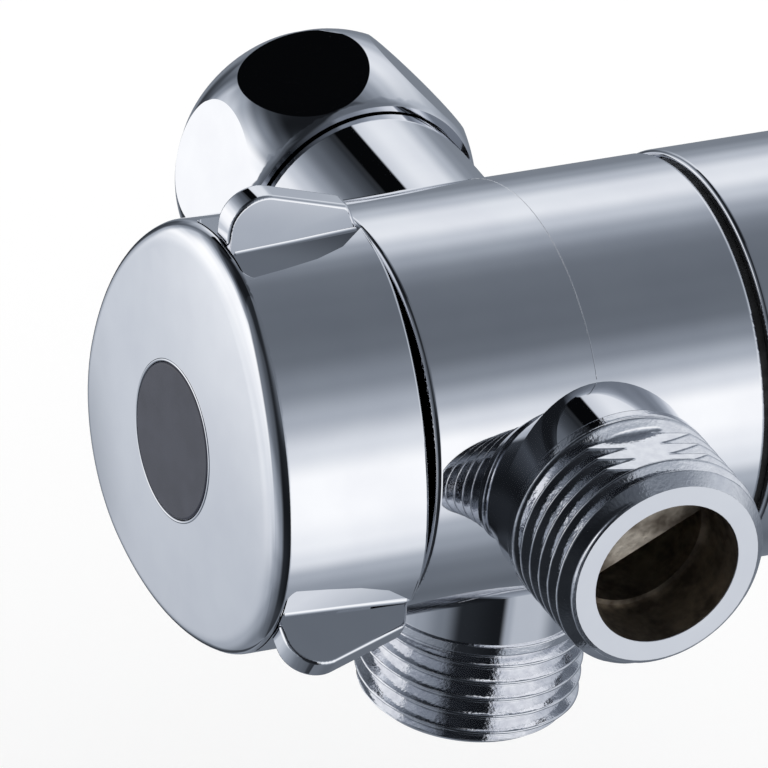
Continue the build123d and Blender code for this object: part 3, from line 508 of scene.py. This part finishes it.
# a fin's sides flare at the root, and its lands lean away from it: their reflections show both
def finNormals(spots, normals, marks):
    marks = np.repeat(marks, 3)
    for n in range(3):
        turn = lobeFrame(n)
        x, across, height = ((spots - onAxis) @ turn.T).T
        side = np.clip(across / finFind["turn"], -1, 1)
        back = np.clip((x - land["leanFrom"]) / land["leanOver"], 0, 1)
        lean = np.radians(land["lean"] + back * (land["leanBack"] - land["lean"])) * side
        leaning = np.column_stack([np.full(len(x), -land["pitch"]), np.sin(lean), np.cos(lean)])
        leaning = leaning / np.linalg.norm(leaning, axis=1)[:, None] @ turn
        normals[marks == 10 * n + 1] = leaning[marks == 10 * n + 1]
        along = np.clip((x - finNow["nose"]) / (finNow["heel"] - finNow["nose"]), 0, 1)
        ridge = finNow["peak"] + along * (finNow["heelHeight"] - finNow["peak"])
        share = np.clip((height - landHeight(x)) / (ridge - landHeight(x)), 0, 1)
        flare = np.radians(land["flare"][n] + share * (land["draft"][n] - land["flare"][n]))
        flaring = np.column_stack([np.zeros(len(x)), side * np.cos(flare), np.sin(flare)]) @ turn
        normals[marks == 10 * n + 2] = flaring[marks == 10 * n + 2]
    return normals


# where the strips start and how much shorter than the fin they are, how far they stand proud and are
# tucked under, and the lean of their shading, top and range
creaseStrip = {"steps": 24, "across": 9, "ahead": 0.8, "shorter": 1.2, "lift": 0.02, "liftBack": 0.10,
               "liftOver": 6.6, "tuck": 0.10, "lean": 75.0, "range": 40.0}


# a rolled strip in the crease between each fin and its lands, where the plating catches the light
def makeCreases(material):
    strip = creaseStrip
    steps, across, size = strip["steps"], strip["across"], land["fillet"]
    run = finNow["tip"] - finNow["nose"]
    spots, faces, normals = [], [], []
    for n in range(3):
        turn = lobeFrame(n)
        for side in (1, -1):
            first = len(spots)
            for k in range(steps + 1):
                share = k / steps
                x = finNow["nose"] + strip["ahead"] + share * (run - strip["shorter"])
                half = finNow["half"] + (x - finNow["nose"]) / run * (finNow["halfBack"] - finNow["half"])
                behind = max(0.0, (x - land["edgeX"][0]) / strip["liftOver"])
                lift = strip["lift"] + strip["liftBack"] * behind
                for j in range(across):
                    inside = min(max(j - 1, 0), across - 3) / (across - 3)
                    bend = math.radians(90 * inside)
                    inward = np.array([0, side * math.cos(bend), math.sin(bend)])
                    spot = np.array([x, side * (half + size), landHeight(x) + lift + size]) - size * inward
                    if j == 0:
                        spot[1] -= side * strip["tuck"]
                    if j == across - 1:
                        spot[2] -= lift + strip["tuck"]
                    spots.append((spot @ turn + onAxis) * mm)
                    lean = math.radians(strip["lean"] - strip["range"] * inside)
                    normals.append(np.array([0, side * math.sin(lean), math.cos(lean)]) @ turn)
            for k in range(steps):
                for j in range(across - 1):
                    a = first + k * across + j
                    quad = (a, a + 1, a + across + 1, a + across)
                    faces.append(quad[::-1] if side > 0 else quad)
    corners = [tuple(normals[i]) for face in faces for i in face]
    return addPiece("knobCreases", [tuple(spot) for spot in spots], faces, material, corners)


# the knob's outline as six arcs: centre, radius, and the angles between which each runs
def lobeArcs(sizes):
    step = sizes["tip"] - sizes["flat"]
    back = (2 * step * sizes["shift"] - step ** 2) / (sizes["shift"] - 2 * step)
    half = math.degrees(math.atan2(back * math.sin(math.radians(60)), sizes["shift"] + back / 2))
    arcs = []
    for n in range(3):
        ahead = sizes["angle"] + 120 * n
        for angle, reach, radius, spread in ((ahead, sizes["shift"], sizes["tip"] - sizes["shift"], half),
                                             (ahead + 60, -back, sizes["flat"] + back, 60 - half)):
            turn = math.radians(angle)
            centre = np.array([axisY + reach * math.cos(turn), reach * math.sin(turn)])
            arcs.append((centre, radius, angle, spread))
    return arcs


# polishing leaves the face full and turns the rolled edge fast near the wall
def polished(bend, out, outward):
    first = np.arcsin(out / lobes["dome"])
    share = np.clip((bend - first) / (math.pi / 2 - first), 0, 1) ** lobes["polish"]
    bend = first + (math.pi / 2 - first) * share
    turned = outward * np.sin(bend)[:, None]
    turned[:, 0] = -np.cos(bend)
    return turned


# half the angle that a brow spans, where it stops at the back, its rounded ends, its own edge, how far
# it stands proud, how deep its ends sink and over which part, and the depth of its back
brow = {"spread": 24.5, "stop": -31.05, "across": 5.60, "corner": 1.40, "edge": 0.16, "proud": 0.006,
        "sink": 0.07, "ends": 8, "depth": 1.30, "columns": 72, "rolls": 16, "walls": 4, "steps": 5}


# the lands stop behind the knob's front edge: this gives back the edge and wall that the cut takes off
def makeBrows(material):
    spots, faces, normals = [], [], []
    radius, roll = lobes["tip"] - lobes["shift"], lobes["roll"]
    columns, rolls, walls, steps = (brow[key] for key in ("columns", "rolls", "walls", "steps"))
    for n in range(3):
        turn = lobeFrame(n)
        first = len(spots)
        for k in range(columns + 1):
            share = 2 * k / columns - 1
            angle = math.radians(brow["spread"] * share)
            outward = np.array([0, math.sin(angle), math.cos(angle)])
            proud = brow["proud"] - brow["sink"] * max(0.0, 1 - brow["ends"] * (1 - abs(share)))
            ball = np.array([0, 0, lobes["shift"]]) + (radius - roll) * outward
            out = math.hypot(ball[1], ball[2])
            ball[0] = lobes["centre"] - math.sqrt((lobes["dome"] - roll) ** 2 - out ** 2)
            across = abs(radius * math.sin(angle))
            inCorner = max(0.0, min(across - (brow["across"] - brow["corner"]), brow["corner"]))
            stop = brow["stop"] + brow["corner"] - math.sqrt(brow["corner"] ** 2 - inCorner ** 2)
            start = math.asin(out / lobes["dome"])
            row = []
            for j in range(rolls + 1):
                bend = start + (math.pi / 2 - start) * j / rolls
                reach = roll + (proud if j else proud - brow["sink"])
                spot = ball + reach * (outward * math.sin(bend) - np.array([math.cos(bend), 0, 0]))
                row.append((spot, polished(np.array([bend]), np.array([out]), outward[None])[0]))
            top = ball + (roll + proud) * outward
            for j in range(1, walls + 1):
                row.append((top + np.array([(stop - brow["edge"] - ball[0]) * j / walls, 0, 0]), outward))
            for j in range(1, steps + 1):
                bend = math.pi / 2 * j / steps
                normal = outward * math.cos(bend) + np.array([math.sin(bend), 0, 0])
                heart = top + np.array([stop - brow["edge"] - ball[0], 0, 0]) - brow["edge"] * outward
                row.append((heart + brow["edge"] * normal, normal))
            row.append((row[-1][0] - outward * brow["depth"], np.array([1.0, 0, 0])))
            for spot, normal in row:
                spots.append(tuple((spot @ turn + onAxis) * mm))
                normals.append(tuple(normal @ turn))
        long = rolls + 1 + walls + steps + 1
        for k in range(columns):
            for j in range(long - 1):
                a = first + k * long + j
                faces.append((a, a + 1, a + long + 1, a + long))
    return addPiece("knobBrows", spots, faces, material, [normals[i] for face in faces for i in face])


# how the knob's wall and rolled edge are found: play in degrees, gaps in mm, and shares of a full match,
# looser at the back, where the lands cut the wall into long facets
wallFind = {"play": 0.01, "gap": 0.006, "middle": (0.04, 0.15), "match": (0.9985, 0.985)}
edgeFind = {"gap": 0.03, "past": 0.02, "turned": 0.03}


# the knob's side walls and the edge rolled between them and its domed face
def lobeNormals(spots, normals, facing):
    centreX, dome, roll = lobes["centre"], lobes["dome"], lobes["roll"]
    for centre, radius, angle, spread in lobeArcs(lobes):
        offset = spots[:, 1:] - centre
        distance = np.linalg.norm(offset, axis=1)
        aside = (np.degrees(np.arctan2(offset[:, 1], offset[:, 0])) - angle + 180) % 360 - 180
        here = np.abs(aside) < spread + wallFind["play"]
        outward = np.zeros_like(spots)
        outward[:, 1:] = offset / np.maximum(distance, 1e-6)[:, None]
        middle = spots.reshape(-1, 3, 3).mean(1).repeat(3, 0)[:, 1:] - centre
        reach = np.linalg.norm(middle, axis=1)
        back = (spots[:, 0] > land["edgeX"][0]).astype(int)
        wall = here.reshape(-1, 3).all(1).repeat(3) & (np.abs(distance - radius) < wallFind["gap"])
        wall &= np.abs(reach - radius) < np.array(wallFind["middle"])[back]
        wall &= (middle * facing[:, 1:]).sum(1) > np.array(wallFind["match"])[back] * reach
        normals[wall] = outward[wall]
        # the ball that rolls the edge: its centre lies on both offset surfaces
        ball = centre + (radius - roll) * outward[:, 1:]
        out = np.hypot(ball[:, 0] - axisY, ball[:, 1])
        ballX = centreX - np.sqrt((dome - roll) ** 2 - out ** 2)
        toward = spots - np.column_stack([ballX, ball])
        over = (toward * outward).sum(1)
        edge = here & (np.abs(np.linalg.norm(toward, axis=1) - roll) < edgeFind["gap"])
        edge &= (toward[:, 0] < edgeFind["past"]) & (over > -edgeFind["past"])
        edge &= np.abs(facing[:, 0]) > edgeFind["turned"]
        turned = polished(np.arctan2(over, -toward[:, 0]), out, outward)
        normals[edge] = turned[edge]
    return normals


# which faces are the nut's side, in mm and by how steep they stand, and the terms of the fitted profile
nutSide = {"inner": 11.4, "back": -15.2, "front": -0.58, "steep": 0.9, "terms": 8}


# the nut's barrel-shaped side: the slope comes from its own profile
def nutNormals(spots, normals, facing, planar):
    radius = np.hypot(spots[:, 0], spots[:, 2])
    side = (radius > nutSide["inner"]) & (spots[:, 1] > nutSide["back"]) & (spots[:, 1] < nutSide["front"])
    side &= ~planar & (np.abs(facing[:, 1]) < nutSide["steep"])
    heights, first = np.unique(np.round(spots[side, 1], 3), return_index=True)
    curve = np.polynomial.Polynomial.fit(heights, radius[side][first], nutSide["terms"]).deriv()
    rise = curve(spots[:, 1])
    outward = np.column_stack([spots[:, 0] / radius, -rise, spots[:, 2] / radius])
    normals[side] = outward[side] / np.linalg.norm(outward[side], axis=1)[:, None]
    return normals


# how flat and round faces are told apart: a facet's gap to its round surface and the least radius in mm,
# the crease angle, a plane's steps of direction and depth and its least area in square mm, and shares of a
# full match between a facet and its surface
faceFind = {"meet": 0.004, "least": 0.5, "crease": 34.0, "directions": 400, "depths": 50, "area": 2.0,
            "along": 0.03, "tube": 0.95, "ball": 0.995, "roll": 0.8, "flat": 0.9999, "end": 0.99}
outletEnd = {"from": 32.88, "lean": 1.8}  # the front outlet's end face, in mm from the axis and degrees


# corner normals: exact on planes, tubes, balls and rolled edges, and averaged elsewhere over faces that
# bend less than the crease angle
def trueNormals(node, spots, faces):
    corner = spots[faces]
    cross = np.cross(corner[:, 1] - corner[:, 0], corner[:, 2] - corner[:, 0])
    area = np.linalg.norm(cross, axis=1)
    flat = cross / np.maximum(area, 1e-12)[:, None]
    # the average over the faces round each point
    order = np.argsort(faces.reshape(-1), kind="stable")
    owners = order // 3
    starts = np.searchsorted(faces.reshape(-1)[order], np.arange(len(spots) + 1))
    normals = np.zeros((len(faces) * 3, 3))
    limit = math.cos(math.radians(faceFind["crease"]))
    for n in range(len(spots)):
        group = owners[starts[n]:starts[n + 1]]
        near = flat[group] @ flat[group].T > limit
        normals[order[starts[n]:starts[n + 1]]] = (near * area[group]) @ flat[group]
    normals /= np.maximum(np.linalg.norm(normals, axis=1), 1e-12)[:, None]
    # planes: faces with the same direction and depth
    depth = (flat * corner[:, 0]).sum(1)
    keys = np.round(np.column_stack([flat * faceFind["directions"], depth * faceFind["depths"]])).astype(int)
    _, group = np.unique(keys, axis=0, return_inverse=True)
    group = group.reshape(-1)
    planar = np.bincount(group, weights=area / 2)[group] > faceFind["area"]
    tall = np.repeat(flat, 3, axis=0)
    every = corner.reshape(-1, 3)
    tubes = np.zeros(len(faces), bool)
    for along, centre in ((0, (0, axisY, 0)), (1, (0, 0, 0)), (2, (0, axisY, 0))):
        radial = corner - np.array(centre)
        radial[:, :, along] = 0
        distance = np.linalg.norm(radial, axis=2)
        outward = radial.mean(1)
        outward /= np.maximum(np.linalg.norm(outward, axis=1), 1e-9)[:, None]
        facing = (outward * flat).sum(1)
        match = (np.ptp(distance, axis=1) < faceFind["meet"]) & (distance.min(1) > faceFind["least"])
        match &= (np.abs(flat[:, along]) < faceFind["along"]) & (np.abs(facing) > faceFind["tube"])
        tubes |= match
        unit = radial / np.maximum(distance, 1e-9)[:, :, None] * np.sign(facing)[:, None, None]
        mask = np.repeat(match, 3)
        normals[mask] = unit.reshape(-1, 3)[mask]
    flatFaces = np.repeat(planar & ~tubes, 3)
    normals[flatFaces] = tall[flatFaces]
    shapes = roundSurfaces[node]
    for centreX, radius in shapes["balls"]:
        toward = every - np.array([centreX, axisY, 0])
        distance = np.linalg.norm(toward, axis=1)
        unit = toward / distance[:, None]
        on = (np.abs(distance - radius) < faceFind["meet"]).reshape(-1, 3).all(1).repeat(3)
        on &= (unit * tall).sum(1) > faceFind["ball"]
        normals[on] = unit[on]
    for ringX, ring, roll in shapes["rolls"]:
        out = np.hypot(every[:, 1] - axisY, every[:, 2])
        unitOut = np.column_stack([np.zeros(len(every)), (every[:, 1] - axisY) / out, every[:, 2] / out])
        toward = every - (np.array([ringX, axisY, 0]) + unitOut * ring)
        distance = np.linalg.norm(toward, axis=1)
        on = (np.abs(distance - roll) < faceFind["meet"]).reshape(-1, 3).all(1).repeat(3)
        on &= ~np.repeat(tubes, 3) & (np.abs(tall[:, 0]) < faceFind["flat"])
        on &= (toward * tall).sum(1) > faceFind["roll"] * roll
        normals[on] = toward[on] / distance[on][:, None]
    if node == "valve_body":
        # the front outlet's end is faced slightly dished, and picks up a lighter part of the studio
        end = (every[:, 1] < axisY - outletEnd["from"]).reshape(-1, 3).all(1).repeat(3)
        lean = math.radians(outletEnd["lean"])
        normals[end & (tall[:, 1] < -faceFind["end"])] = (0, -math.cos(lean), math.sin(lean))
    if node == "diverter_knob":
        normals = lobeNormals(every, normals, tall)
    if node == "inlet_nut":
        normals = nutNormals(every, normals, tall, np.repeat(planar, 3))
    return normals


# a copy of a CAD node's mesh with its loose triangles merged; drop takes face corners in mm
def shellOf(node, name, material, drop=None):
    source = frame["nodes"][node].data
    spots = np.zeros(len(source.vertices) * 3, np.float32)
    source.vertices.foreach_get("co", spots)
    spots = spots.reshape(-1, 3).astype(float) / mm
    corners = np.zeros(len(source.loops), np.int32)
    source.loops.foreach_get("vertex_index", corners)
    kept, back = np.unique(np.round(spots, 4), axis=0, return_inverse=True)
    faces = back.reshape(-1)[corners].reshape(-1, 3)
    a, b, c = faces.T
    faces = faces[(a != b) & (b != c) & (a != c)]
    if node == "diverter_knob":
        marks = finMarks(kept, faces)
        kept = shapeFins(kept)
    normals = trueNormals(node, kept, faces)
    if node == "diverter_knob":
        normals = finNormals(kept[faces].reshape(-1, 3), normals, marks)
    if drop is not None:
        stay = ~drop(kept[faces])
        faces, normals = faces[stay], normals[np.repeat(stay, 3)]
    used, again = np.unique(faces, return_inverse=True)
    again = again.reshape(-1, 3)
    return addPiece(name, (kept[used] * mm).tolist(), again.tolist(), material, normals.tolist())


# true for the CAD's plain threaded lengths, which the wound sleeves replace
def outletSkin(triangles):
    reach = threadSizes["start"] - 0.01
    limit = threadSizes["mouth"] - 0.02
    forward, down = axisY - triangles[:, :, 1], -triangles[:, :, 2]
    aroundY = np.hypot(triangles[:, :, 0], triangles[:, :, 2])
    aroundZ = np.hypot(triangles[:, :, 0], triangles[:, :, 1] - axisY)
    front = (forward > reach).all(1) & (aroundY > limit).all(1)
    lower = (down > reach).all(1) & (aroundZ > limit).all(1)
    return front | lower


# limits in mm: radii of the chamber, the neck, the outlets and the spigot's bore, the chamber's half length
# and where the neck begins
bores = {"chamber": 17.6, "chamberHalf": 15.0, "neck": 11.5, "neckFrom": -28.0, "outlet": 7.45,
         "spigot": 7.9}


# the waterways are left in dull nickel: the chamber, both outlet bores and the spigot's bore
def lineBores(piece, material):
    piece.data.materials.append(material)
    for face in piece.data.polygons:
        x, y, z = (c / mm for c in face.center)
        barrel, front, lower = math.hypot(y - axisY, z), math.hypot(x, z), math.hypot(x, y - axisY)
        inside = barrel < bores["chamber"] and abs(x) < bores["chamberHalf"]
        inside &= not (front < bores["neck"] and y > bores["neckFrom"])
        inside |= front < bores["outlet"] and y < axisY
        inside |= lower < bores["outlet"] and z < 0
        inside |= front < bores["spigot"] and y > axisY
        if inside:
            face.material_index = 1


body = shellOf("valve_body", "valveBodyShell", chrome, outletSkin)
lineBores(body, bronze)
frontThread = makeThread("frontThread", threadSizes, frontPad, (0, 0, math.pi), plated)
lowerThread = makeThread("lowerThread", threadSizes, lowerPad, (-math.pi / 2, 0, 0), plated)
for piece in (body, frontThread, lowerThread):
    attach(piece, "valve")
    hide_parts("valve_body")
print("body and threads made")

for node, name, rider in (("diverter_knob", "diverterKnob", "knob"), ("swivel_end", "swivelEnd", "end"),
                          ("end_cap", "endCap", "end"), ("inlet_nut", "inletNut", "nut")):
    piece = shellOf(node, name, chrome)
    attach(piece, rider)
    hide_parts(node)
for piece in (makeCreases(chrome), makeBrows(chrome)):
    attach(piece, "knob")
print("knob, swivel end and nut made")

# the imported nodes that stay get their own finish
nodeFinish = {"knob_insert": "greySatin", "friction_ring": "nitrileRubber", "selector_ball": "acetal",
              "seat_inlet": "seatRubber", "seat_front": "seatRubber", "seat_bottom": "seatRubber",
              "bonnet": "turnedBrass", "spindle": "turnedBrass", "thrust_washer": "acetal",
              "bonnet_seal": "nitrileRubber", "spindle_seal_inner": "nitrileRubber",
              "spindle_seal_outer": "nitrileRubber", "knob_screw": "stainless", "wave_washer": "stainless",
              "pivot_washer": "stainless", "pivot_screw": "stainless", "nut_clip": "stainless",
              "inlet_screen": "stainless", "inlet_gasket": "seatRubber"}
ready = {}
for node, finish in nodeFinish.items():
    if finish not in ready:
        ready[finish] = makeFinish(finish) if finish in finishes else makeMetal(finish)
    data = frame["nodes"][node].data
    for n in range(max(1, len(data.materials))):
        if n < len(data.materials):
            data.materials[n] = ready[finish]
        else:
            data.materials.append(ready[finish])
print("materials given to", len(nodeFinish), "packed nodes")


# thin round beads: bright broken edges and the mould's parting line, each an arc about one axis
beadSides, beadStep = 8, 1.5  # points round a bead, and degrees from one ring of them to the next
fullRound = ((0, 360),)
beads = {
    "insertRim": {"axis": 0, "centre": (-33.72, axisY, 0), "radius": 7.45, "tube": 0.17,
                  "arcs": fullRound, "rider": "knob"},
    "frontMouthRim": {"axis": 1, "centre": (0, axisY - 32.81, 0), "radius": 7.24, "tube": 0.09,
                      "arcs": fullRound, "rider": "valve"},
    "frontEndRim": {"axis": 1, "centre": (0, axisY - 32.81, 0), "radius": 9.08, "tube": 0.09,
                    "arcs": fullRound, "rider": "valve"},
    "lowerMouthRim": {"axis": 2, "centre": (0, axisY, -32.81), "radius": 7.24, "tube": 0.09,
                      "arcs": fullRound, "rider": "valve"},
    "partingLine": {"axis": 0, "centre": (0, axisY, 0), "radius": 19.125, "tube": 0.045,
                    "arcs": ((38, 147), (-53, -38), (-142, -127)), "rider": "valve"},
}


# a closed tube along each of a bead's arcs
def makeBead(name, sizes, material):
    spots, faces = [], []
    across = [(1, 2), (2, 0), (0, 1)][sizes["axis"]]
    for begin, end in sizes["arcs"]:
        closed = end - begin == 360
        steps = max(8, int((end - begin) / beadStep))
        first = len(spots)
        rows = steps if closed else steps + 1
        for k in range(rows):
            turn = math.radians(begin + (end - begin) * k / steps)
            for j in range(beadSides):
                bend = 2 * math.pi * j / beadSides
                reach = sizes["radius"] + sizes["tube"] * math.cos(bend)
                spot = list(sizes["centre"])
                spot[across[0]] += reach * math.cos(turn)
                spot[across[1]] += reach * math.sin(turn)
                spot[sizes["axis"]] += sizes["tube"] * math.sin(bend)
                spots.append([c * mm for c in spot])
        for k in range(steps):
            for j in range(beadSides):
                a, b = first + k * beadSides, first + (k + 1) % rows * beadSides
                faces.append((a + j, b + j, b + (j + 1) % beadSides, a + (j + 1) % beadSides))
        if not closed:
            faces.append(tuple(first + j for j in range(beadSides)))
            faces.append(tuple(first + steps * beadSides + j for j in reversed(range(beadSides))))
    piece = addPiece(name, spots, faces, material)
    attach(piece, sizes["rider"])


for name, sizes in beads.items():
    makeBead(name, sizes, chrome)
print("beads and parting line made")


# half width and height in metres, its own white, and what it lacks of the backdrop's
floorBoard = {"half": 1.5, "height": -0.075, "white": "#ececec", "lack": "#747474"}


# a plain matt board that shines as brightly as the backdrop, so only the shadow shows
def makeFloor():
    made, tree, surface = newMaterial("paleFloor")
    surface.inputs["Base Color"].default_value = linear(floorBoard["white"])
    surface.inputs["Roughness"].default_value = 1.0
    surface.inputs["Specular IOR Level"].default_value = 0.0
    path = addNode(tree, "ShaderNodeLightPath").outputs
    tree.links.new(path["Is Camera Ray"], surface.inputs["Emission Strength"])
    surface.inputs["Emission Color"].default_value = linear(floorBoard["lack"])
    half, height = floorBoard["half"], floorBoard["height"]
    corners = [(x * half, y * half, height) for x, y in ((-1, -1), (1, -1), (1, 1), (-1, 1))]
    floor = addPiece("floor", corners, [(0, 1, 2, 3)], made)
    floor.visible_glossy = False


makeFloor()
